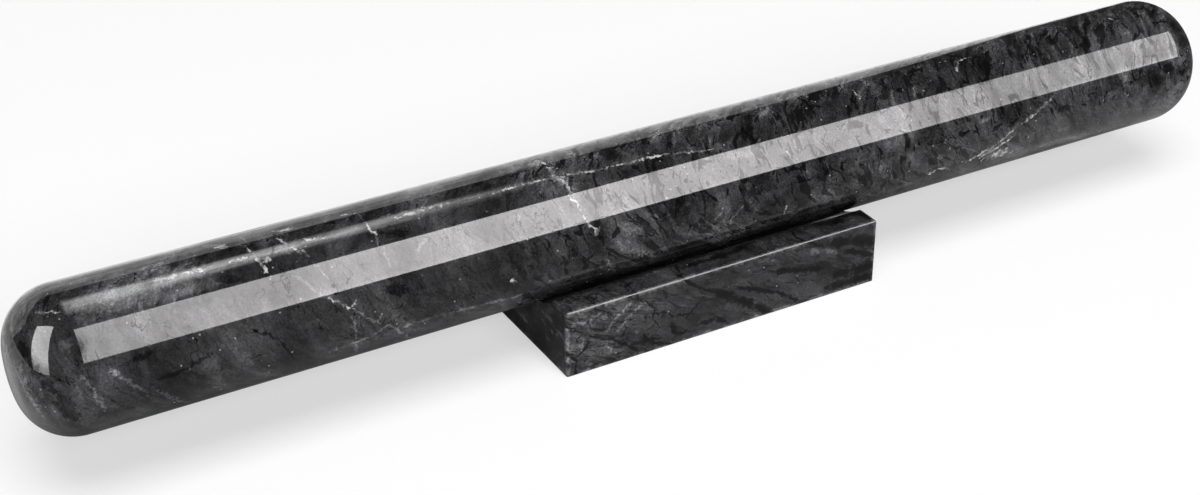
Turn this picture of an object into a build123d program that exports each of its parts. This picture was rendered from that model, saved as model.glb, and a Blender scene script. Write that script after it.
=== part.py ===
from build123d import *
from math import asin, degrees, sqrt
import os

# A one-piece marble rolling pin that lies in the trough of its marble cradle.
# Millimetres, +Z up, +X along the pin. The origin is on the table, under the middle of the pin.

os.makedirs("parts", exist_ok=True)

# The pin, turned from one bar of marble
pin_length = 406.0
pin_diameter = 41.8
crown_radius = 50.5        # the gentle crown over the middle of each end
shoulder_radius = 15.5     # the tighter arc that carries the crown into the barrel

# The cradle, sawn from a slab, with a round-bottomed trough along its top
cradle_length = 111.0
cradle_width = 49.0
cradle_height = 22.0
trough_radius = 26.0       # wider than the pin's, so that the pin rests on the trough's bottom line
trough_depth = 5.5
lip_radius = 1.2           # rubbed down where the trough meets the flat lands beside it
arris_radius = 0.7         # the eased outer edges
foot_radius = 0.4          # the edges round the underside, only just broken

# How the pin lies in the cradle
rest_clearance = 0.3       # between the pin's underside and the trough's bottom line
cradle_offset = 4.9        # the cradle stands this far to the right of the pin's middle

# Places that follow from those sizes
pin_radius = pin_diameter / 2
pin_tip = pin_length / 2
trough_bottom = cradle_height - trough_depth
pin_axis_height = trough_bottom + rest_clearance + pin_radius

# The crown's centre is on the pin's axis. The shoulder arc touches the crown from inside and the
# barrel from inside, so its centre is a known distance from the crown's centre and from the axis.
crown_centre = pin_tip - crown_radius
centre_spacing = crown_radius - shoulder_radius
shoulder_rise = pin_radius - shoulder_radius
barrel_end = crown_centre + sqrt(centre_spacing**2 - shoulder_rise**2)
crown_half_angle = degrees(asin(shoulder_rise / centre_spacing))
shoulder_sweep = 90 - crown_half_angle

# Rolling pin: half of its lengthwise section, turned about its own axis
pin_axis = Axis((0, 0, pin_axis_height), (1, 0, 0))
section_plane = Plane(origin=(0, 0, pin_axis_height), x_dir=(1, 0, 0), z_dir=(0, -1, 0))

with BuildPart() as rolling_pin:
    with BuildSketch(section_plane):
        with BuildLine():
            barrel = Line((-barrel_end, pin_radius), (barrel_end, pin_radius))
            shoulder = JernArc(barrel @ 1, barrel % 1, shoulder_radius, -shoulder_sweep)
            crown = TangentArc(shoulder @ 1, (pin_tip, 0), tangent=shoulder % 1)
            mirror([shoulder, crown], about=Plane.YZ)
            Line((-pin_tip, 0), (pin_tip, 0))
        make_face()
    revolve(axis=pin_axis)

rolling_pin.part.label = "rolling_pin"
export_step(rolling_pin.part, "parts/rolling_pin.step")

# Cradle: its cross-section, drawn out to both sides of its middle
with BuildPart() as cradle:
    with BuildSketch(Plane.YZ.offset(cradle_offset)):
        Rectangle(cradle_width, cradle_height, align=(Align.CENTER, Align.MIN))
        with Locations((0, trough_bottom + trough_radius)):
            Circle(trough_radius, mode=Mode.SUBTRACT)
    extrude(amount=cradle_length / 2, both=True)

    top_edges = cradle.edges().filter_by(Axis.X).group_by(Axis.Z)[-1]
    lips = top_edges.sort_by(lambda edge: abs(edge.center().Y))[:2]
    fillet(lips, lip_radius)

    foot = cradle.faces().sort_by(Axis.Z)[0].edges()
    ends = cradle.faces().filter_by(Axis.X).edges()
    rims = cradle.edges().filter_by(Axis.X).group_by(Axis.Z)[-1]
    outer_rims = rims.sort_by(lambda edge: abs(edge.center().Y))[-2:]
    arrises = [edge for edge in ends + outer_rims if edge not in foot]
    fillet(arrises, arris_radius)
    fillet(cradle.faces().sort_by(Axis.Z)[0].edges(), foot_radius)

cradle.part.label = "cradle"
export_step(cradle.part, "parts/cradle.step")
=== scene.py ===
import math

import bpy
from mathutils import Matrix, Vector


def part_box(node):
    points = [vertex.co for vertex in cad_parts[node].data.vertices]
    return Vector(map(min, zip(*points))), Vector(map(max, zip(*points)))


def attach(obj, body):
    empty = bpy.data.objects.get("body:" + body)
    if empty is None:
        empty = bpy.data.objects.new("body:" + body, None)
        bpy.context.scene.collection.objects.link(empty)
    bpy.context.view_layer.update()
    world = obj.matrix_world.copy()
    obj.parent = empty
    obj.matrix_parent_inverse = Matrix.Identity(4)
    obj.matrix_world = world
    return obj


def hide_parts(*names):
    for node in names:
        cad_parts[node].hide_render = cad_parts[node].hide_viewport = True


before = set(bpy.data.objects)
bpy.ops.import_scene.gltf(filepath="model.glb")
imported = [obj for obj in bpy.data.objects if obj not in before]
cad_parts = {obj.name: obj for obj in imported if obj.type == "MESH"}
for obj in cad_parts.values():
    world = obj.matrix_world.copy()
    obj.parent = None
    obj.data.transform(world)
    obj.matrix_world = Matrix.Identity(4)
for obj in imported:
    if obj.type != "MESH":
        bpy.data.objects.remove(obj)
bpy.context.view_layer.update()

# The looks of a one-piece marble rolling pin that lies on its marble cradle.
# Metres, +Z up, +X along the pin. Sizes in the stones' patterns are in millimetres.

MM = 0.001

# Sizes that the CAD model gives

pin_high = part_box("rolling_pin")[1]
cradle_low, cradle_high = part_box("cradle")
pin_tip = pin_high.x
cradle_middle = (cradle_low.x + cradle_high.x) / 2
cradle_half_length = (cradle_high.x - cradle_low.x) / 2
cradle_half_width = (cradle_high.y - cradle_low.y) / 2
cradle_height = cradle_high.z

# Sizes of the barrel, the rounded ends and the eased edges, as in the CAD model

pin_radius = 20.9 * MM
pin_axis_height = pin_high.z - pin_radius
crown_radius = 50.5 * MM
shoulder_radius = 15.5 * MM
trough_radius = 26.0 * MM
trough_depth = 5.5 * MM
lip_radius = 1.2 * MM
arris_radius = 0.7 * MM
foot_radius = 0.4 * MM


# Shader values


class Value:
    """A number, colour or vector that varies over a surface. Arithmetic on values adds Math nodes."""

    def __init__(self, pattern, socket):
        self.pattern = pattern
        self.socket = socket

    def __add__(self, other):
        return self.pattern.maths("ADD", self, other)

    def __radd__(self, other):
        return self.pattern.maths("ADD", other, self)

    def __sub__(self, other):
        return self.pattern.maths("SUBTRACT", self, other)

    def __rsub__(self, other):
        return self.pattern.maths("SUBTRACT", other, self)

    def __mul__(self, other):
        return self.pattern.maths("MULTIPLY", self, other)

    def __truediv__(self, other):
        return self.pattern.maths("DIVIDE", self, other)

    def __rpow__(self, other):
        return self.pattern.maths("POWER", other, self)

    def __abs__(self):
        return self.pattern.maths("ABSOLUTE", self)

    def least(self, other):
        return self.pattern.maths("MINIMUM", self, other)

    def most(self, other):
        return self.pattern.maths("MAXIMUM", self, other)


class Pattern:
    """The node tree of a material or of the air, and what its pattern is made from."""

    def __init__(self, owner):
        self.owner = owner
        self.owner.use_nodes = True
        self.tree = self.owner.node_tree
        self.tree.nodes.clear()

    def node(self, kind, settings=None, inputs=None, output=0):
        """Adds a node: first its settings, then the values or links of its sockets."""
        made = self.tree.nodes.new(kind)
        for name, setting in (settings or {}).items():
            setattr(made, name, setting)
        for name, given in (inputs or {}).items():
            socket = made.inputs[name]
            if isinstance(given, Value):
                self.tree.links.new(given.socket, socket)
            else:
                socket.default_value = given
        return Value(self, made.outputs[output])

    def place(self):
        """Where a point of the object is, in the object's own coordinates."""
        return self.node("ShaderNodeTexCoord", None, None, "Object")

    def parts(self, vector):
        """The X, Y and Z of a vector, each as a value."""
        outputs = self.node("ShaderNodeSeparateXYZ", None, {0: vector}).socket.node.outputs
        return [Value(self, output) for output in outputs]

    def maths(self, operation, *terms):
        return self.node("ShaderNodeMath", {"operation": operation}, dict(enumerate(terms)))

    def vector(self, operation, *terms, output=0):
        return self.node("ShaderNodeVectorMath", {"operation": operation}, dict(enumerate(terms)), output)

    def scaled(self, vector, factor):
        return self.node("ShaderNodeVectorMath", {"operation": "SCALE"}, {0: vector, "Scale": factor})

    def across(self, vector, direction):
        return self.vector("DOT_PRODUCT", vector, direction, output="Value")

    def joined(self, x, y, z=0.0):
        return self.node("ShaderNodeCombineXYZ", None, {0: x, 1: y, 2: z})

    def noise(self, place, size, detail=2.0, roughness=0.5, output="Fac"):
        """Cloudy noise from 0 to 1, whose lumps are about as large as size."""
        inputs = {"Vector": place, "Scale": 1 / size, "Detail": detail, "Roughness": roughness}
        return self.node("ShaderNodeTexNoise", {"noise_dimensions": "3D"}, inputs, output)

    def swing(self, place, size, detail, roughness, reach):
        """Noise that goes up and down about 0, by up to half of reach."""
        return (self.noise(place, size, detail, roughness) - 0.5) * reach

    def grains(self, place, size, feature="F1", output="Distance"):
        """Cells about as large as size: how far a point is from the middle or the edge of its own one."""
        inputs = {"Vector": place, "Scale": 1 / size}
        return self.node("ShaderNodeTexVoronoi", {"feature": feature}, inputs, output)

    def chance(self, place, size):
        """A number from 0 to 1 that is the same all over one cell."""
        return self.parts(self.grains(place, size, output="Color"))[0]

    def ramp(self, value, low, high, from_value=0.0, to_value=1.0):
        """A smooth step: from_value at low and to_value at high."""
        settings = {"interpolation_type": "SMOOTHSTEP"}
        inputs = {"Value": value, 1: low, 2: high, 3: from_value, 4: to_value}
        return self.node("ShaderNodeMapRange", settings, inputs)

    def blended(self, share, first, second):
        """One colour that goes over into another."""
        inputs = {"Factor": share, 6: first, 7: second}
        return self.node("ShaderNodeMix", {"data_type": "RGBA"}, inputs, 2)

    def finish(self, shader, kind="ShaderNodeOutputMaterial"):
        """Links the shader to the tree's output, and gives back the material or the air."""
        output = self.tree.nodes.new(kind)
        self.tree.links.new(shader.socket, output.inputs["Surface"])
        return self.owner


# Charcoal marble

# The stone's layers lie across the pin, tilted, so that its streaks slant one way above the middle of
# the pin's front and the other way below. In the cradle they dip to the right.
PIN_LAYERS = (1.0, -0.95, 0.72)
CRADLE_LAYERS = (0.45, 0.1, 1.0)

# Shares of the light that come back out of the stone: usually, at its darkest and at its palest
STONE_GREY = 0.0265
DARKEST = 0.0025
PALEST = 0.3
COOL = (1.0, 1.0, 1.09)
PLAIN = (1.0, 1.0, 1.02)
CHALK = (0.46, 0.455, 0.45, 1.0)
HALF = (0.5, 0.5, 0.5)

# How many doublings each kind of mark is lighter or darker than the stone round it
SEAM_DROP = 2.5
PATCH_LIFT = 1.5
PALE_VEIN_LIFT = 1.7
# The streaks' drop also darkens the painted shade on the pin's underside above the cradle.
STREAK_AND_SHADE_DROP = 1.6
# The rubbed lift also paints a highlight along the cradle's arrises.
RUBBED_AND_SHEEN_LIFT = 1.6
CRADLE_CRACK_DROP = 3.2
CRADLE_VEIN_LIFT = 1.5


def in_layers(pattern, place, layers, stretch):
    """place in a frame whose X runs across the layers; lengths along the layers shrink by stretch."""
    across = Vector(layers).normalized()
    along = across.cross(Vector((0.0, 0.0, 1.0))).normalized()
    third = across.cross(along)
    return pattern.joined(
        pattern.across(place, tuple(across)),
        pattern.across(place, tuple(along / stretch)),
        pattern.across(place, tuple(third / stretch)),
    )


def shifted(pattern, moved, place, size, detail, roughness, reach):
    """moved pushed about by up to half of reach each way, in waves of that size over place."""
    waves = pattern.vector("SUBTRACT", pattern.noise(place, size, detail, roughness, "Color"), HALF)
    return pattern.vector("ADD", moved, pattern.vector("MULTIPLY", waves, reach))


SHARD_SIZE = 3.0


def charcoal_stone(pattern, place, layers, lively, hairy):
    """How much lighter or darker than usual the stone is, in doublings, and where its cracks run. Lively
    stone is broken into shards, and hairy stone has fine streaks where the rest has patches."""
    bent = shifted(pattern, place, place, size=17.0, detail=2.0, roughness=0.6, reach=(7.0, 7.0, 7.0))
    frayed = shifted(pattern, bent, bent, size=2.0, detail=3.0, roughness=0.6, reach=(0.9, 0.9, 0.9))

    banks = in_layers(pattern, bent, layers, stretch=1.6)
    clouds = pattern.swing(banks, size=17.0, detail=3.0, roughness=0.6, reach=5.8)
    threads = in_layers(pattern, bent, layers, stretch=4.6)
    streaks = pattern.swing(threads, size=2.7, detail=7.0, roughness=0.77, reach=9.6) * hairy
    lumps = in_layers(pattern, frayed, layers, stretch=1.5)
    patches = pattern.swing(lumps, size=4.2, detail=7.0, roughness=0.68, reach=lively * 5.6 + 2.2)
    patches = patches * (1.25 - hairy)
    dust = pattern.swing(place, size=0.62, detail=2.0, roughness=0.7, reach=lively * 1.6 + 2.6)

    shards = in_layers(pattern, frayed, layers, stretch=4.2)
    shard = pattern.chance(shards, SHARD_SIZE) - 0.5
    rim = pattern.grains(shards, SHARD_SIZE, "DISTANCE_TO_EDGE")
    open_rim = pattern.ramp(pattern.noise(place, 4.0, 2.0), 0.48, 0.7, 0.0, 0.07)
    crack = pattern.ramp(rim - open_rim, -0.012, 0.012, 1.0, 0.0) * lively

    blades = pattern.noise(in_layers(pattern, frayed, layers, stretch=5.5), 2.3, 3.0, 0.6)
    blade = pattern.ramp(blades, 0.58, 0.61) * lively
    wander = pattern.noise(in_layers(pattern, frayed, layers, stretch=2.0), 7.0, 3.0, 0.6)
    seam = pattern.ramp(abs(wander - 0.5), 0.002, 0.008, 1.0, 0.0)
    seam = seam * pattern.ramp(pattern.noise(place, 9.0, 1.0), 0.42, 0.55)

    dark = crack.most(blade * 0.85).most(seam)
    stops = clouds + streaks + patches + dust + shard * lively - dark * SEAM_DROP
    return stops, dark


def stone_colour(pattern, place, stops):
    """The stone's colour: charcoal, a little bluer in some places than in others."""
    tint = pattern.ramp(pattern.noise(place, 6.0, 2.0), 0.4, 0.6)
    grey = (2 ** stops * STONE_GREY).most(DARKEST).least(PALEST)
    cool = pattern.scaled(COOL, grey)
    plain = pattern.scaled(PLAIN, grey)
    return pattern.blended(tint, plain, cool)


def specks(pattern, place, size, share, radius):
    """Scattered crystals of calcite, fine white points in at most that share of the cells."""
    chosen = pattern.ramp(pattern.chance(place, size), 1 - share, 1 - share * 0.4)
    near = pattern.grains(place, size)
    return pattern.ramp(near, radius * 0.4, radius, 1.0, 0.0) * chosen


# What the pin's skin shows at a known place. A line has points, each millimetres along the pin from its
# middle and degrees round it from the middle of its front, up positive, and then a width in millimetres.

WHITE_VEINS = [
    ([(-62, 70), (-52, 71), (-40, 68), (-28, 65), (-15, 64.3), (-7, 62.5), (3, 57.6)], 0.7),
    ([(-45, 96), (-43.7, 85), (-44.6, 74), (-42.3, 61), (-42, 51)], 1.0),
    ([(-43.4, 50), (-41.4, 43), (-40.1, 26)], 0.7),
    ([(-40, 24), (-37.7, 17)], 0.6),
    ([(-38.4, 18.5), (-36.9, 15)], 1.5),
    ([(132.2, 20.5), (125, 11), (120.2, 6)], 0.9),
    ([(116.6, 3), (109.4, -9.5), (99, -20.5)], 0.9),
    ([(115, -7.6), (108.4, -14.6), (103.4, -20.4)], 0.7),
    ([(107.9, 80), (104.6, 79), (103.2, 74), (100.5, 66)], 0.9),
    ([(63, 77), (63.2, 66)], 0.9),
    ([(22.5, 56), (22.5, 51)], 0.9),
    ([(-135.2, 68), (-134, 51)], 0.9),
    ([(-102.6, 72), (-101.6, 60), (-102.4, 51)], 0.8),
    ([(30.4, 42), (30.4, 35)], 0.9),
    ([(-120, 23), (-116.7, 15.6), (-114.4, 10.6)], 0.7),
    ([(83.8, -22), (86.5, -19), (90.3, -20), (93, -26)], 0.9),
    ([(-114, 12.5), (-112.7, 15.5)], 0.9),
    ([(-123, 65), (-122, 60)], 0.8),
    ([(170, 84), (170.4, 80)], 1.0),
    ([(28, -8), (28, -16.5)], 0.6),
    ([(-65.8, -4), (-64.8, -7)], 1.3),
    ([(107, -22.4), (115.4, -22.8)], 2.6),
    ([(-93.8, 72), (-83, 71.5)], 1.0),
    ([(-136.6, 84), (-135.4, 73), (-134.6, 65)], 0.8),
    ([(-134.6, 65), (-131.8, 65.5)], 1.5),
    ([(-127, 82), (-125.8, 74), (-124.2, 65.5)], 0.9),
    ([(-193.4, 74.5), (-190.2, 69)], 0.6),
    ([(-145.4, 100), (-143.4, 95), (-141.2, 90.5)], 1.9),
    ([(-128, 94), (-126, 91.5), (-121, 90)], 1.1),
    ([(-163, 73), (-156, 71.5), (-149, 70.3)], 1.3),
    ([(-142, 71.5), (-138, 71)], 1.0),
    ([(-121, 72.5), (-116, 71.5)], 1.1),
    ([(-107.6, 90), (-104.6, 89)], 0.9),
]
PALE_VEINS = [
    ([(-135.8, 102), (-135.2, 84), (-135, 68)], 0.7),
    ([(-103.5, 100), (-102.6, 72)], 0.8),
    ([(-119, 102), (-126, 84)], 0.7),
    ([(-0.6, 85), (-4.4, 70)], 0.8),
    ([(84.3, 81), (83.4, 66), (81, 53)], 0.6),
    ([(35.5, 60), (35.5, 51)], 0.6),
    ([(47.7, 90), (47.4, 82)], 0.9),
    ([(19, 65), (19.4, 58)], 0.7),
    ([(-114.4, 10.6), (-110.6, 0.8), (-107.4, -6.6), (-106, -10)], 0.6),
    ([(-105.6, 0.8), (-107.4, -8)], 0.6),
    ([(-114.4, 5.7), (-113.4, -21.5), (-112.5, -43.7)], 0.7),
    ([(-103, -15), (-98.6, -31), (-94, -50)], 0.8),
    ([(-181.4, 17.5), (-178.6, 9), (-173, -10)], 1.2),
    ([(-169, -14), (-159.7, -47)], 1.2),
    ([(-188.6, 17.5), (-186.6, 7.5), (-184.2, -13)], 1.2),
    ([(-201.8, 46), (-201.4, 7), (-199, -19.5)], 2.0),
    ([(-98, 75.5), (-88, 73.2), (-77, 71.6), (-62, 71.6)], 1.2),
    ([(-99, -21.5), (-96.8, -19), (-85.6, -20), (-76.4, -21.5), (-67, -22.7), (-57, -24)], 1.3),
    ([(102.6, -12), (97, -4)], 0.7),
    ([(2.2, -4.5), (5, 6)], 0.7),
    ([(7.4, -10), (11, 1.5)], 0.7),
    ([(-35, -9), (-32.6, -21), (-29, -40)], 0.6),
    ([(-23, -9), (-22, -19)], 0.5),
    ([(-12.7, -9), (-7.6, -20)], 0.9),
    ([(7.7, -5), (7.7, -14)], 0.9),
    ([(-104, -13), (-108.8, -20), (-119, -24)], 0.8),
    ([(-21, 22), (-16.4, 12)], 0.7),
    ([(108.5, 78), (108.3, 65)], 0.6),
    ([(136.6, 64), (136.2, 55)], 0.7),
    ([(-131, 50), (-130.6, 45)], 1.0),
    ([(-127.6, 46), (-121.7, 27)], 1.2),
    ([(-121, 49), (-118.4, 36)], 0.6),
    ([(-101.3, 49), (-101, 34)], 0.6),
    ([(-87.5, 49), (-92.8, 39)], 1.0),
    ([(-60, 50), (-60.2, 43)], 0.7),
    ([(-150, 150), (-128, 172)], 1.0),
    ([(-60, 128), (-52, 150), (-46, 178)], 0.9),
    ([(40, 132), (58, 150), (66, 176)], 1.1),
    ([(150, 140), (128, 168)], 0.8),
    ([(-140, -160), (-118, -120), (-112, -80)], 0.9),
    ([(-30, -170), (-6, -130), (4, -90)], 1.0),
    ([(92, -165), (110, -118)], 1.1),
]
PALE_PATCHES = [
    ([(-42.6, 72), (-42, 50)], 5.0),
    ([(4.2, 67.5), (7.8, 61.5), (9.8, 53)], 4.2),
    ([(-130.2, 71), (-123.8, 68)], 4.0),
    ([(-191.4, 44), (-188.6, 41)], 3.2),
    ([(69, 87), (69.4, 79)], 2.8),
    ([(-184, 66), (-149, 68)], 11.0),
    ([(-170, 56), (-146, 58)], 4.0),
    ([(10, 46), (20, 44.5)], 2.6),
    ([(14.6, 23), (14.6, 15.6)], 2.4),
    ([(85.4, -4), (88, -4.4)], 2.2),
    ([(87.6, 8), (89.4, 8)], 1.6),
    ([(103, 18), (107, 17)], 1.4),
    ([(11.4, 3), (12.8, 3)], 1.2),
    ([(19.8, -6), (21.4, -7.2)], 1.2),
    ([(35, 17.6), (36.2, 16.4)], 1.2),
    ([(-7.8, 18.6), (-6.4, 17.4)], 1.2),
    ([(-30.6, 37), (-29.2, 37)], 0.8),
    ([(125.4, 86.6), (126.6, 85)], 1.0),
    ([(132, -31), (160, -36)], 4.0),
    ([(103, -17), (110, -15)], 3.2),
]
# Dark streaks of the stone, and three broad marks of painted shade on the pin's underside above the cradle.
DARK_STREAKS_AND_PAINTED_SHADE = [
    ([(-127, 91), (-128.6, 80), (-131, 66)], 1.0),
    ([(-143, 17), (-135.6, 3), (-132, -19)], 0.9),
    ([(-56, 23), (-53, 8)], 1.0),
    ([(-0.5, 25), (-1.6, 4)], 1.0),
    ([(112.8, 78), (110.6, 53)], 5.0),
    ([(27, 84), (20.4, 66)], 3.2),
    ([(34, 82), (33.4, 53)], 1.8),
    ([(44, 77), (42.8, 58)], 2.2),
    ([(63.4, 81), (58.4, 60)], 0.9),
    ([(69, 77), (61, 52)], 1.1),
    ([(75, 75), (71.4, 52)], 1.8),
    ([(19, 70), (20.8, 52)], 2.0),
    ([(-26, 88), (-22, 70)], 7.0),
    ([(142.6, 82), (141.6, 55)], 2.0),
    ([(149.4, 90), (148.2, 55)], 1.4),
    ([(155, 92), (153, 55)], 2.4),
    ([(125.4, 78), (123.4, 64)], 2.4),
    ([(133.6, 86), (131.6, 55)], 1.6),
    ([(166.8, 76), (164.8, 52)], 1.8),
    ([(186.4, 92), (184.6, 58)], 2.6),
    ([(-100, 60), (-92, 55)], 2.6),
    ([(-148, 60), (-141, 54)], 3.0),
    ([(133, 10), (141, 7)], 2.6),
    ([(-104, 19), (-98, 12)], 4.0),
    ([(168, 16), (182, 8)], 5.0),
    # Painted shade: the pin's underside darkened where it hangs over the cradle.
    ([(-64, -35), (-20, -38)], 11.0),
    ([(-34, -37), (26, -40)], 16.0),
    ([(8, -39), (70, -37)], 14.0),
    ([(-194.6, 5.5), (-191, -25)], 5.0),
    ([(-199.8, 64), (-199, 37.5), (-197.8, 21), (-194.6, 5.5)], 2.8),
    ([(-176, 17), (-169.8, 20.5)], 2.0),
    ([(-169, -1.5), (-161, 0.5), (-153.8, 7.5)], 1.5),
    ([(-189, 91), (-192.2, 76)], 1.6),
    ([(179, 93), (185, 84), (188.8, 70)], 3.4),
    ([(190, 68), (191.6, 46), (193.4, 27), (194, 6)], 6.0),
    ([(172, 18), (180, 19), (186, 14), (193, 10)], 5.0),
]

# The same on the cradle's front and on over the land above it: millimetres along from its middle, and up
# from the table and then in from the front

FRONT_CRACKS = [
    (
        [
            (-33, 31.5),
            (-31.5, 28.5),
            (-32, 25),
            (-31.5, 20.1),
            (-27.8, 17.3),
            (-25.2, 14.6),
            (-26.4, 11.6),
            (-24.3, 8.4),
        ],
        0.55,
    ),
    ([(-25.1, 12.8), (-21.5, 12), (-18.5, 9.8), (-12.9, 9.3), (-9.1, 12.8)], 0.6),
    ([(-13, 31), (-15.1, 25.6), (-15.8, 21.6), (-9.1, 16.8), (-4.3, 13.9), (0.6, 10.8)], 0.7),
    ([(-3.3, 13.6), (3.6, 9), (10.5, 4.8), (16.6, 0.3)], 2.6),
    ([(17.6, 14.7), (23.8, 13.4), (31.1, 11.4), (35.3, 11)], 1.7),
    ([(37.6, 2.7), (46, 2.9), (53.6, 2.4)], 2.4),
    ([(40.6, 6.7), (46, 6.6), (54.6, 6)], 3.0),
    ([(38.6, 18.4), (46, 17.5), (55, 15)], 3.2),
    ([(45, 14), (49.3, 12.2), (55, 9.6)], 1.5),
    ([(4.6, 12.8), (11.5, 10), (17.6, 7.4), (22.7, 4.3), (26.9, 1.1)], 1.2),
    ([(-19.5, 7.4), (-18.5, 3.8), (-14.8, 3.2)], 1.4),
    ([(-9.1, 4.2), (-3.3, 4.4), (-0.4, 2.4)], 1.3),
    ([(-31.5, 4.6), (-25.1, 4.1)], 1.6),
    ([(-47.5, 12), (-43.1, 9.7), (-39.5, 8.4), (-35.1, 4.8), (-31.5, 2)], 0.9),
    ([(-51.8, 6.4), (-49.9, 7.6), (-48.2, 10.3)], 0.9),
    ([(-55.4, 9.1), (-54.4, 7.2), (-52.5, 4.9), (-52.8, 1.6), (-51.5, -0.2)], 0.8),
    ([(-47.5, 32), (-46.2, 29), (-45.6, 25), (-45.7, 20.6), (-42.2, 19), (-40.3, 16.9)], 0.45),
    ([(-29.6, 6.8), (-27.8, 3.5), (-19.5, 0.2)], 0.8),
    ([(28.8, 31), (27.6, 26), (28.5, 22.4), (34.2, 19)], 0.8),
    ([(37, 32), (40.2, 28.5), (46, 27.8)], 3.0),
    ([(46, 30.8), (53.5, 29.6), (55.4, 25)], 3.2),
    ([(-11, 28.2), (-4, 28), (5.5, 28.2), (12, 29.5)], 2.0),
]
FRONT_VEINS = [
    ([(-33.3, 19.9), (-36.9, 16.8), (-40.4, 13.9), (-43.1, 11.1)], 1.3),
    ([(-29.3, 18.3), (-32.8, 15.7), (-36.4, 12.7), (-38.8, 10.2)], 1.2),
    ([(-52.8, 17.6), (-45.7, 18.2), (-42.6, 17.9)], 2.0),
    ([(-44, 18.8), (-43.1, 15.9)], 2.4),
    ([(-55.5, 10.4), (-51.8, 9.3), (-49.6, 10.4)], 2.2),
    ([(-55.5, 6.6), (-53.9, 5.7), (-54, 4.4)], 1.7),
    ([(30, 18.1), (34.2, 17.4), (40.6, 15.2)], 2.0),
    ([(10.5, 20.4), (16.6, 19.3)], 1.6),
    ([(50.4, 11.8), (55.4, 11.1)], 1.4),
    ([(-38.7, 6.8), (-36.9, 5.7)], 1.4),
    ([(-32.5, 8.7), (-30.9, 8.4)], 1.0),
    ([(-42.2, 7), (-39.5, 5.1)], 1.4),
    ([(-25.2, 30), (-18, 29.6)], 2.0),
    ([(48.4, 26.4), (49.4, 26)], 1.0),
]

DEGREE = math.radians(1.0) * pin_radius / MM     # millimetres of the pin's skin
LENS_REACH = 0.58       # half a lens, as a share of its run, so that the lenses of a line overlap


def nearness(pattern, skin, lines, unit=DEGREE):
    """How far a place on the skin is from the nearest line: 0 in its middle, 1 at its rim. Each run of
    a line is a long thin lens, so that the line swells and thins."""
    nearest = None
    for points, width in lines:
        flat = [Vector((x, height * unit, 0.0)) for x, height in points]
        for start, end in zip(flat, flat[1:]):
            run = end - start
            sideways = Vector((-run.y, run.x, 0.0)).normalized()
            away = pattern.vector("SUBTRACT", skin, tuple((start + end) / 2))
            along = pattern.across(away, tuple(run / run.length_squared / LENS_REACH))
            aside = pattern.across(away, tuple(sideways * 2 / width))
            square = pattern.maths("MULTIPLY_ADD", aside, aside, along * along)
            nearest = square if nearest is None else nearest.least(square)
    return pattern.maths("SQRT", nearest)


def dented(pattern, height):
    """The normal of a surface with dents and bumps whose height is in millimetres."""
    return pattern.node("ShaderNodeBump", None, {"Strength": 1.0, "Distance": MM, "Height": height})


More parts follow.
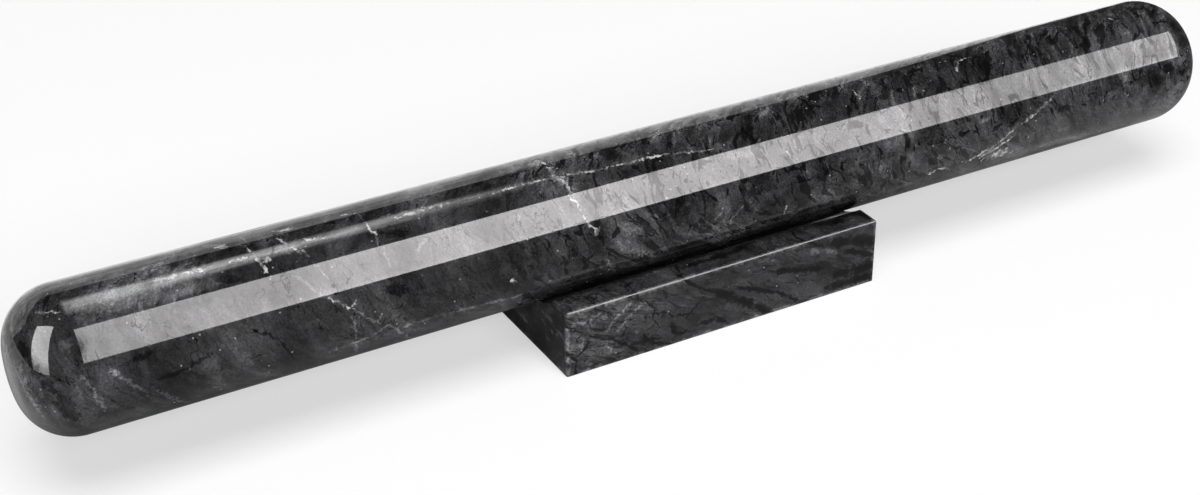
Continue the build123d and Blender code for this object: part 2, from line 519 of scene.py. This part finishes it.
def pin_marble():
    """The pin: charcoal marble under a high polish, with a few white veins."""
    pattern = Pattern(bpy.data.materials.new("pin_marble"))
    place = pattern.scaled(pattern.place(), 1 / MM)
    along, back, height = pattern.parts(place)
    up = height - pin_axis_height / MM
    # Radians round the pin from the middle of its front, up positive
    turn = pattern.maths("ARCTAN2", up, back * -1)

    # The stone is calm and cloudy at the left, broken in the middle, and streaky at the right and on top.
    lively = pattern.ramp(along, -80.0, -30.0, 0.25, 1.0)
    hairy = pattern.ramp(along, -150.0, -60.0, 0.5, 0.55).most(pattern.ramp(along, 50.0, 110.0, 0.0, 1.0))
    hairy = hairy.most(pattern.ramp(turn, 0.75, 1.0, 0.0, 0.85) * pattern.ramp(along, -60.0, 0.0))
    calm = pattern.ramp(along, 92.0, 125.0, 0.0, 0.6) * pattern.ramp(turn, -0.1, 0.12, 1.0, 0.0)
    stops, dark = charcoal_stone(pattern, place, PIN_LAYERS, lively * (1 - calm), hairy * (1 - calm))

    # The pin's skin laid out flat, in millimetres along it and round it
    skin = pattern.joined(along, turn * (pin_radius / MM))
    skin = shifted(pattern, skin, place, size=2.0, detail=4.0, roughness=0.66, reach=(2.6, 2.6, 0.0))

    fray = pattern.swing(place, size=1.3, detail=3.0, roughness=0.7, reach=4.4)
    patch = pattern.ramp(nearness(pattern, skin, PALE_PATCHES) + fray * 0.5, 0.45, 1.25, 1.0, 0.0)
    pale = pattern.ramp(nearness(pattern, skin, PALE_VEINS) + fray, 0.4, 1.3, 1.0, 0.0)
    # Dark streaks, and painted shade on the pin's underside above the cradle
    streak_and_shade = pattern.ramp(nearness(pattern, skin, DARK_STREAKS_AND_PAINTED_SHADE) + fray * 0.5, 0.55, 1.0, 1.0, 0.0)
    white = pattern.ramp(nearness(pattern, skin, WHITE_VEINS) + fray * 1.3, 0.3, 1.3, 1.0, 0.0)
    white = white * pattern.ramp(pattern.noise(place, 3.4, 3.0, 0.6), 0.4, 0.58, 0.15, 1.0)

    stops = stops * pattern.ramp(turn, 1.25, 1.5, 1.0, 1.65)
    stops = stops + patch * PATCH_LIFT + pale * PALE_VEIN_LIFT - streak_and_shade * STREAK_AND_SHADE_DROP
    stops = stops + pattern.ramp(along, 90.0, 150.0, 0.0, 0.35)
    points = specks(pattern, place, size=2.2, share=0.3, radius=0.16)
    chalk = white.most(points * 0.55)
    tone = pattern.blended(chalk, stone_colour(pattern, place, stops), CHALK)

    # The polish is better on some grains than on others, and streaky along the pin's top.
    dark = dark.most(streak_and_shade)
    combed = pattern.vector("MULTIPLY", place, (0.06, 1.0, 1.0))
    combing = pattern.ramp(turn, 1.0, 1.2) * pattern.ramp(along, -60.0, 20.0, 3.4, 1.0)
    strokes = pattern.swing(combed, size=1.5, detail=4.0, roughness=0.7, reach=combing)
    # The polish is also lower in the streaks and in the painted shade.
    polish = stops * pattern.ramp(along, 60.0, 120.0, 0.09, 0.12) + strokes + 0.6 - dark * 0.12 - streak_and_shade * 0.3
    polish = polish.most(0.08).least(1.0)
    roughness = 0.05 + chalk * 0.06
    normal = dented(pattern, pattern.noise(place, 1.0, 3.0) * 0.006 - dark * 0.003)
    shader = pattern.node(
        "ShaderNodeBsdfPrincipled",
        None,
        {
            "Base Color": tone,
            "Roughness": roughness,
            "Normal": normal,
            "IOR": 1.32,
            "Coat Weight": polish,
            "Coat Roughness": 0.04,
            "Coat IOR": 1.5,
        },
    )
    return pattern.finish(shader)


def cradle_marble():
    """The cradle: the same kind of stone, sawn so that its shards lie flatter, with rubbed pale edges that
    also hold a painted highlight.
    """
    pattern = Pattern(bpy.data.materials.new("cradle_marble"))
    place = pattern.scaled(pattern.place(), 1 / MM)
    stops, dark = charcoal_stone(pattern, place, CRADLE_LAYERS, lively=0.7, hairy=0.55)

    # How far in from each pair of faces. Near an edge two of the three are small, and so the middle one is.
    along, across, up = pattern.parts(place)
    from_middle = along - cradle_middle / MM
    from_ends = cradle_half_length / MM - abs(from_middle)
    from_sides = cradle_half_width / MM - abs(across)
    from_top = cradle_height / MM - up
    middling = from_ends.least(from_sides).most(from_ends.most(from_sides).least(from_top.least(up)))
    chips = pattern.noise(place, 1.6, 4.0, 0.7)
    # Pale edges: rubbed stone, and a painted highlight along the arrises.
    rubbed_and_sheen = pattern.ramp(middling + (chips - 0.5) * 3.6, 0.4, 1.6, 1.0, 0.0)
    rubbed_and_sheen = rubbed_and_sheen * pattern.ramp(pattern.noise(place, 5.0, 2.0), 0.38, 0.56, 0.35, 1.0)

    # The marks reach in from the front and, turned half round, from the back.
    side = pattern.maths("SIGN", across) * -1
    front = pattern.joined(from_middle * side, up + from_sides)
    front = shifted(pattern, front, place, size=1.8, detail=4.0, roughness=0.66, reach=(2.8, 2.8, 0.0))
    shallow = pattern.ramp(from_sides + chips * 6, 9.0, 13.0, 1.0, 0.0)
    fray = pattern.swing(place, size=1.2, detail=3.0, roughness=0.7, reach=4.0)
    mark = pattern.ramp(nearness(pattern, front, FRONT_CRACKS, unit=1.0) + fray * 0.8, 0.5, 1.6, 1.0, 0.0)
    mark = mark * shallow * pattern.ramp(pattern.noise(place, 2.4, 4.0, 0.7), 0.38, 0.54, 0.6, 1.0)
    vein = pattern.ramp(nearness(pattern, front, FRONT_VEINS, unit=1.0) + fray, 0.3, 1.3, 1.0, 0.0) * shallow

    # The stone is more broken at the left. Its sawn ends are darkened by painted shade, broken by pale wisps
    # of the stone.
    wisps = in_layers(pattern, place, CRADLE_LAYERS, stretch=2.5)
    broken = pattern.ramp(along, -38.0, -12.0, 1.0, 0.58)
    end_shade_and_wisps = pattern.ramp(from_ends, 0.2, 1.2, 0.9, 0.0)
    end_shade_and_wisps = end_shade_and_wisps * pattern.ramp(pattern.noise(wisps, 4.0, 5.0, 0.7), 0.44, 0.62, 1.3, -0.9)
    stops = stops * broken + pattern.ramp(along, -36.0, -16.0, -0.15, 0.25) - end_shade_and_wisps
    stops = stops + rubbed_and_sheen * RUBBED_AND_SHEEN_LIFT - mark * CRADLE_CRACK_DROP + vein * CRADLE_VEIN_LIFT
    points = specks(pattern, place, size=2.6, share=0.25, radius=0.14)
    tone = pattern.blended(points * 0.5, stone_colour(pattern, place, stops), CHALK)
    roughness = 0.1 + abs(stops.least(3.0)) * 0.01 + rubbed_and_sheen * 0.3
    normal = dented(pattern, pattern.noise(place, 1.2, 3.0) * 0.008 - dark * 0.004)
    shader = pattern.node(
        "ShaderNodeBsdfPrincipled",
        None,
        {"Base Color": tone, "Roughness": roughness, "Normal": normal, "IOR": 1.54},
    )
    return pattern.finish(shader)


# Meshes


def new_object(name, mesh):
    made = bpy.data.objects.new(name, mesh)
    bpy.context.scene.collection.objects.link(made)
    return made


def smooth_mesh(name, points, normals, faces):
    """A mesh whose every point has its true normal. Points that fall together become one."""
    kept = {}
    places = []
    directions = []
    number = []
    for point, normal in zip(points, normals):
        key = tuple(round(value, 8) for value in point)
        if key not in kept:
            kept[key] = len(places)
            places.append(point)
            directions.append(normal)
        number.append(kept[key])
    whole = []
    for face in faces:
        corners = []
        for spot in face:
            if number[spot] not in corners:
                corners.append(number[spot])
        if len(corners) > 2:
            whole.append(corners)
    mesh = bpy.data.meshes.new(name)
    mesh.from_pydata(places, [], whole)
    mesh.polygons.foreach_set("use_smooth", [True] * len(mesh.polygons))
    mesh.normals_split_custom_set_from_vertices(directions)
    return mesh


def arc(centre, radius, start, end, steps):
    """Points and outward normals along an arc, angles in degrees, both ends included."""
    found = []
    for step in range(steps + 1):
        angle = math.radians(start + (end - start) * step / steps)
        normal = (math.cos(angle), math.sin(angle))
        found.append(((centre[0] + radius * normal[0], centre[1] + radius * normal[1]), normal))
    return found


PIN_SIDES = 192
CROWN_STEPS = 9
SHOULDER_STEPS = 26
BARREL_RINGS = 44


def pin_profile():
    """The pin's profile from its right tip to its left tip: distances along and from its axis."""
    crown_centre = pin_tip - crown_radius
    spacing = crown_radius - shoulder_radius
    rise = pin_radius - shoulder_radius
    barrel_end = crown_centre + math.sqrt(spacing**2 - rise**2)
    half_angle = math.degrees(math.asin(rise / spacing))
    crown = arc((crown_centre, 0.0), crown_radius, 0.0, half_angle, CROWN_STEPS)
    shoulder = arc((barrel_end, rise), shoulder_radius, half_angle, 90.0, SHOULDER_STEPS)
    end = crown[1:] + shoulder[1:]
    barrel = []
    for ring in range(1, BARREL_RINGS):
        barrel.append(((barrel_end - 2 * barrel_end * ring / BARREL_RINGS, pin_radius), (0.0, 1.0)))
    mirrored = [((-x, r), (-nx, nr)) for (x, r), (nx, nr) in reversed(end)]
    return end + barrel + mirrored


def turned_pin():
    """The pin: its profile in equal steps round its axis, and one point at each tip."""
    profile = pin_profile()
    points = []
    normals = []
    for (x, r), (nx, nr) in profile:
        for side in range(PIN_SIDES):
            angle = 2 * math.pi * side / PIN_SIDES
            c = math.cos(angle)
            s = math.sin(angle)
            points.append((x, r * c, pin_axis_height + r * s))
            normals.append((nx, nr * c, nr * s))
    faces = []
    for ring in range(len(profile) - 1):
        first = ring * PIN_SIDES
        for side in range(PIN_SIDES):
            following = (side + 1) % PIN_SIDES
            second = first + PIN_SIDES
            faces.append((first + side, second + side, second + following, first + following))
    right = len(points)
    points += [(pin_tip, 0.0, pin_axis_height), (-pin_tip, 0.0, pin_axis_height)]
    normals += [(1.0, 0.0, 0.0), (-1.0, 0.0, 0.0)]
    last = (len(profile) - 1) * PIN_SIDES
    for side in range(PIN_SIDES):
        following = (side + 1) % PIN_SIDES
        faces.append((right, side, following))
        faces.append((right + 1, last + following, last + side))
    return new_object("turned_pin", smooth_mesh("turned_pin", points, normals, faces))


FOOT_STEPS = 5
ARRIS_STEPS = 7
LIP_STEPS = 9
TROUGH_STEPS = 48


def cradle_outline():
    """The cradle's section. Each place has its outward normal, how far it moves in across the cradle's
    last arris, and how long that arris is there."""
    half = cradle_half_width
    top = cradle_height
    centre_height = top - trough_depth + trough_radius
    reach = trough_radius + lip_radius
    lip_drop = centre_height - (top - lip_radius)
    lip_across = math.sqrt(reach**2 - lip_drop**2)
    lip_angle = math.degrees(math.atan2(lip_drop, lip_across))
    right = []
    for place, (ny, nz) in arc((half - foot_radius, foot_radius), foot_radius, -90.0, 0.0, FOOT_STEPS):
        move = (arris_radius - foot_radius + foot_radius * ny, foot_radius * nz)
        right.append((place, (ny, nz), move, foot_radius + (arris_radius - foot_radius) * ny))
    upper = arc((half - arris_radius, top - arris_radius), arris_radius, 0.0, 90.0, ARRIS_STEPS)
    upper += arc((lip_across, top - lip_radius), lip_radius, 90.0, 180.0 - lip_angle, LIP_STEPS)
    trough = arc((0.0, centre_height), trough_radius, -lip_angle, lip_angle - 180.0, TROUGH_STEPS)
    to_middle = trough[1:TROUGH_STEPS // 2 + 1]
    upper += [(place, (-ny, -nz)) for place, (ny, nz) in to_middle]
    for place, (ny, nz) in upper:
        right.append((place, (ny, nz), (ny * arris_radius, nz * arris_radius), arris_radius))
    left = []
    for (y, z), (ny, nz), (my, mz), ease in reversed(right):
        left.append(((-y, z), (-ny, nz), (-my, mz), ease))
    return right + left


def cradle_stations():
    """From the right end to the left: how far each ring's normal leans along, and its share of the length."""
    right = []
    for step in range(ARRIS_STEPS + 1):
        right.append((math.sin(math.radians(90.0 * (1 - step / ARRIS_STEPS))), 1.0))
    middle = [(0.0, share) for share in (0.8, 0.6, 0.4, 0.2, 0.0, -0.2, -0.4, -0.6, -0.8)]
    left = [(-lean, -1.0) for lean, _ in reversed(right)]
    return right + middle + left


def sawn_cradle():
    """The cradle: its section from end to end, drawn in over the arrises of both ends."""
    outline = cradle_outline()
    count = len(outline)
    points = []
    normals = []
    for lean, share in cradle_stations():
        upright = math.sqrt(max(0.0, 1 - lean * lean))
        for (y, z), (ny, nz), (my, mz), ease in outline:
            length = cradle_half_length - ease * (1 - abs(lean))
            points.append((cradle_middle + share * length, y - my * (1 - upright), z - mz * (1 - upright)))
            normals.append((lean, ny * upright, nz * upright))
    rings = len(points) // count
    faces = []
    for ring in range(rings - 1):
        first = ring * count
        for spot in range(count):
            following = (spot + 1) % count
            second = first + count
            faces.append((first + spot, second + spot, second + following, first + following))
    faces.append(tuple(range(count)))
    last = (rings - 1) * count
    faces.append(tuple(last + spot for spot in reversed(range(count))))
    return new_object("sawn_cradle", smooth_mesh("sawn_cradle", points, normals, faces))


# The two stones

pin = turned_pin()
pin.data.materials.append(pin_marble())
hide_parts("rolling_pin")
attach(pin, "rolling_pin")

cradle = sawn_cradle()
cradle.data.materials.append(cradle_marble())
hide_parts("cradle")
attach(cradle, "cradle")


# The studio


def flat_card(name, corners, material, everywhere=False):
    """A flat card of the studio. Unless it shows everywhere, it shows only in the stones' polish."""
    mesh = bpy.data.meshes.new(name)
    mesh.from_pydata(corners, [], [tuple(range(len(corners)))])
    card = new_object(name, mesh)
    card.data.materials.append(material)
    card.visible_camera = everywhere
    card.visible_diffuse = everywhere
    card.visible_shadow = everywhere
    card.visible_transmission = everywhere


def seen_rays(pattern):
    """The rays by which a background is seen: straight, mirrored and through something clear."""
    outputs = pattern.node("ShaderNodeLightPath").socket.node.outputs
    names = ("Is Camera Ray", "Is Glossy Ray", "Is Transmission Ray")
    return [Value(pattern, outputs[name]) for name in names]


WHITE = (1.0, 1.0, 1.0, 1.0)


def glow(pattern, strength, tint=WHITE):
    return pattern.node("ShaderNodeEmission", None, {"Color": tint, "Strength": strength})


def mixed(pattern, share, first, second):
    return pattern.node("ShaderNodeMixShader", None, {0: share, 1: first, 2: second})


FLOOR_REACH = 5.0
FLOOR_WHITE = (0.96, 0.96, 0.96, 1.0)
FLOOR_FADE = (0.45, 1.0)
SHADOW_LIFT = 0.48      # how far the photograph's shadows are lightened towards the white floor


def floor_paint():
    """White floor that keeps the shadows. Far from the stones it goes over into the white of the air."""
    pattern = Pattern(bpy.data.materials.new("floor_white"))
    place = pattern.place()
    away = pattern.vector("LENGTH", place, output="Value")
    far = pattern.ramp(away, *FLOOR_FADE)
    camera_rays, glossy_rays, clear_rays = seen_rays(pattern)
    paint = pattern.node("ShaderNodeBsdfDiffuse", None, {"Color": FLOOR_WHITE})
    white = glow(pattern, 1.0)
    near = mixed(pattern, camera_rays.most(clear_rays) * SHADOW_LIFT, paint, white)
    # In the polish the table is darker than the camera sees it: painted shade under the pin and in front of
    # it, and beyond its left end also behind it.
    along, across, _ = pattern.parts(place)
    middle = pattern.ramp(along, 0.05, 0.14, 0.8, 0.62) * pattern.ramp(along, -0.24, -0.19, 0.3, 1.0)
    right = pattern.ramp(along, 0.205, 0.235, 0.0, 0.2)
    front = (middle + right) * pattern.ramp(across, 0.09, 0.13, 1.0, 0.0)
    left = pattern.ramp(along, -0.23, -0.20, 1.0, 0.0) * pattern.ramp(across, -0.05, 0.0, 0.78, 0.42)
    near = mixed(pattern, glossy_rays * front.most(left), near, glow(pattern, 0.0))
    seen = camera_rays.most(glossy_rays).most(clear_rays)
    return pattern.finish(mixed(pattern, far * seen, near, white))


flat_card(
    "floor",
    [
        (-FLOOR_REACH, -FLOOR_REACH, 0.0),
        (FLOOR_REACH, -FLOOR_REACH, 0.0),
        (FLOOR_REACH, FLOOR_REACH, 0.0),
        (-FLOOR_REACH, FLOOR_REACH, 0.0),
    ],
    floor_paint(),
    everywhere=True,
)


def soft_lamp(name, lean, distance, aside, size, power):
    """A large softbox that lights the stones and the floor, leaning so many degrees to the front."""
    lamp = bpy.data.lights.new(name, "AREA")
    lamp.shape = "RECTANGLE"
    lamp.size, lamp.size_y = size
    lamp.energy = power
    made = bpy.data.objects.new(name, lamp)
    bpy.context.scene.collection.objects.link(made)
    angle = math.radians(lean)
    made.location = (aside, -distance * math.sin(angle), distance * math.cos(angle))
    made.rotation_euler = (angle, 0.0, 0.0)
    made.visible_camera = False
    made.visible_glossy = False


soft_lamp("overhead_lamp", lean=17.0, distance=5.0, aside=-0.6, size=(3.4, 2.65), power=169.0)
soft_lamp("front_lamp", lean=60.0, distance=5.0, aside=-0.8, size=(4.6, 1.8), power=181.0)


def graded_glow(pattern, share, dim, bright, tint=WHITE):
    """A card's material: dim where share is 0 and bright where it is 1."""
    return pattern.finish(mixed(pattern, share, glow(pattern, dim, tint), glow(pattern, bright, tint)))


ROSY = (1.0, 0.978, 0.984, 1.0)
STUDIO_DARK = 0.06      # what the dark studio still sends back


def strip_glow():
    """The long softbox along the pin's front. It is brightest left of its middle, and low down."""
    pattern = Pattern(bpy.data.materials.new("strip_glow"))
    along, _, height = pattern.parts(pattern.place())
    centre = pattern.ramp(along, -0.12, 0.14) * pattern.ramp(along, 0.28, 0.5, 1.0, 0.0)
    low = pattern.ramp(height, 0.205, 0.29, 0.24, 0.0) * pattern.ramp(along, -0.06, 0.04)
    low = low * pattern.ramp(along, 0.5, 0.68, 1.0, 1.8)
    share = centre * 0.49 + low + pattern.ramp(along, 0.44, 0.58, 0.13, 0.0)
    return graded_glow(pattern, share, dim=5.5, bright=13.2, tint=ROSY)


BAND_MIDDLE = 0.155
BAND_HEIGHT = 0.49


def band_glow():
    """The faint light above and behind the pin. It fades out on all sides."""
    pattern = Pattern(bpy.data.materials.new("band_glow"))
    along, across, _ = pattern.parts(pattern.place())
    half_width = pattern.ramp(along, -0.13, -0.03, 0.17, 0.115)
    peak = pattern.ramp(abs(across - BAND_MIDDLE) / half_width, 0.1, 1.0, 1.0, 0.0)
    share = peak * pattern.ramp(along, 0.0, 0.19, 1.0, 0.0) * pattern.ramp(along, -0.17, -0.06)
    return graded_glow(pattern, share, dim=STUDIO_DARK, bright=5.6)


def side_glow():
    """The small softbox at the left, brighter in its upper part."""
    pattern = Pattern(bpy.data.materials.new("side_glow"))
    height = pattern.parts(pattern.place())[2]
    return graded_glow(pattern, pattern.ramp(height, 0.0485, 0.0605), dim=4.3, bright=9.1)


def faint_glow():
    """The dark studio."""
    pattern = Pattern(bpy.data.materials.new("dark_studio"))
    return pattern.finish(glow(pattern, STUDIO_DARK))


def ray_place(elevation, distance):
    """Where a ray from the pin meets the studio: across and up. 0 is level to the front, 90 straight up."""
    angle = math.radians(elevation)
    return (-distance * math.cos(angle), pin_axis_height + distance * math.sin(angle))


def level_card(name, left, right, low, high, material):
    """A card that runs along the pin between two places given across and up."""
    flat_card(name, [(left, *low), (right, *low), (right, *high), (left, *high)], material)


STRIP_DISTANCE = 0.557
strip_low = ray_place(elevation=19.4, distance=STRIP_DISTANCE)
strip_high = ray_place(elevation=69.4, distance=STRIP_DISTANCE)
band_front = (0.0, BAND_HEIGHT)
band_rear = (2 * BAND_MIDDLE, BAND_HEIGHT)
level_card("strip_softbox", left=-0.10, right=0.70, low=strip_low, high=strip_high, material=strip_glow())
level_card("band_light", left=-0.16, right=0.25, low=band_front, high=band_rear, material=band_glow())

# The small softbox, mirrored in the pin's left end. It is small and close, so that the barrel mirrors little
# of it when the pin is seen from its other end.

flat_card(
    "side_softbox",
    [
        (-0.218, 0.001, 0.0795),
        (-0.2036, -0.0132, 0.0876),
        (-0.2293, -0.0383, 0.0468),
        (-0.2388, -0.0142, 0.0447),
    ],
    side_glow(),
)

# The dark studio round the table, seen only in the polish. At the back it leaves out a pale wall, which is
# the white air between its cards. In front and at the right it also covers the table.

LEFT = -1.6
RIGHT = 0.9
FRONT = -1.6
REAR = 0.45
TOP = 1.3
LOW = 0.002             # just above the floor
WALL_LEFT = -0.75
WALL_RIGHT = 0.35
WALL_TOP = 0.388
dark_studio = faint_glow()
level_card("studio_rear", WALL_LEFT, WALL_RIGHT, (REAR, WALL_TOP), (REAR, TOP), dark_studio)
flat_card(
    "studio_rear_left",
    [
        (WALL_LEFT, REAR, TOP),
        (WALL_LEFT, REAR, 0.20),
        (-0.62, REAR, LOW),
        (LEFT, REAR, LOW),
        (LEFT, REAR, TOP),
    ],
    dark_studio,
)
flat_card(
    "studio_rear_corner",
    [
        (WALL_RIGHT, REAR, TOP),
        (WALL_RIGHT, REAR, WALL_TOP),
        (0.44, REAR, 0.25),
        (0.47, REAR, 0.105),
        (0.50, REAR, LOW),
        (RIGHT, REAR, LOW),
        (RIGHT, REAR, TOP),
    ],
    dark_studio,
)
level_card("studio_ceiling", LEFT, RIGHT, (REAR, TOP), (FRONT, TOP), dark_studio)
level_card("studio_front", LEFT, RIGHT, (FRONT, LOW), (FRONT, TOP), dark_studio)
for name, side in (("studio_left", LEFT), ("studio_right", RIGHT)):
    corners = [(side, REAR, LOW), (side, REAR, TOP), (side, FRONT, TOP), (side, FRONT, LOW)]
    flat_card(name, corners, dark_studio)
flat_card(
    "table_front",
    [(LEFT, -0.385, LOW), (RIGHT, -0.058, LOW), (RIGHT, FRONT, LOW), (LEFT, FRONT, LOW)],
    dark_studio,
)
flat_card(
    "table_right",
    [
        (0.28, 0.03, LOW),
        (0.25, -0.10, LOW),
        (0.27, -0.139, LOW),
        (0.89, -0.06, LOW),
        (0.89, 0.449, LOW),
        (0.50, 0.449, LOW),
    ],
    dark_studio,
)


AIR_LIGHT = 0.185


def studio_air():
    """White where it is seen or mirrored, and a plain soft light on the stones and the floor."""
    pattern = Pattern(bpy.data.worlds.new("studio_air"))
    camera_rays, glossy_rays, clear_rays = seen_rays(pattern)
    soft = pattern.node("ShaderNodeBackground", None, {"Strength": AIR_LIGHT})
    white = pattern.node("ShaderNodeBackground", None, {"Strength": 1.0})
    air = mixed(pattern, camera_rays.most(glossy_rays).most(clear_rays), soft, white)
    return pattern.finish(air, "ShaderNodeOutputWorld")


bpy.context.scene.world = studio_air()


# The camera, as fitted to the photograph's outline. Its turn is from a look straight across the pin, left
# positive, and its dip is down from level, both in degrees.

CAMERA_PLACE = (-0.27684, -0.44785, 0.32012)
CAMERA_TURN = -29.309
CAMERA_DIP = 29.895
CAMERA_ROLL = -0.414
SENSOR_WIDTH = 36.0     # millimetres, and so is the lens
LENS = 58.66

camera_data = bpy.data.cameras.new("camera")
camera_data.sensor_width = SENSOR_WIDTH
camera_data.lens = LENS
camera_data.clip_start = 0.01
camera_data.clip_end = 20.0
camera = bpy.data.objects.new("camera", camera_data)
bpy.context.scene.collection.objects.link(camera)
yaw = Matrix.Rotation(math.radians(CAMERA_TURN), 4, "Z")
pitch = Matrix.Rotation(math.radians(90 - CAMERA_DIP), 4, "X")
roll = Matrix.Rotation(math.radians(CAMERA_ROLL), 4, "Z")
camera.matrix_world = Matrix.Translation(CAMERA_PLACE) @ yaw @ pitch @ roll
bpy.context.scene.camera = camera

bpy.context.scene.view_settings.view_transform = "Standard"
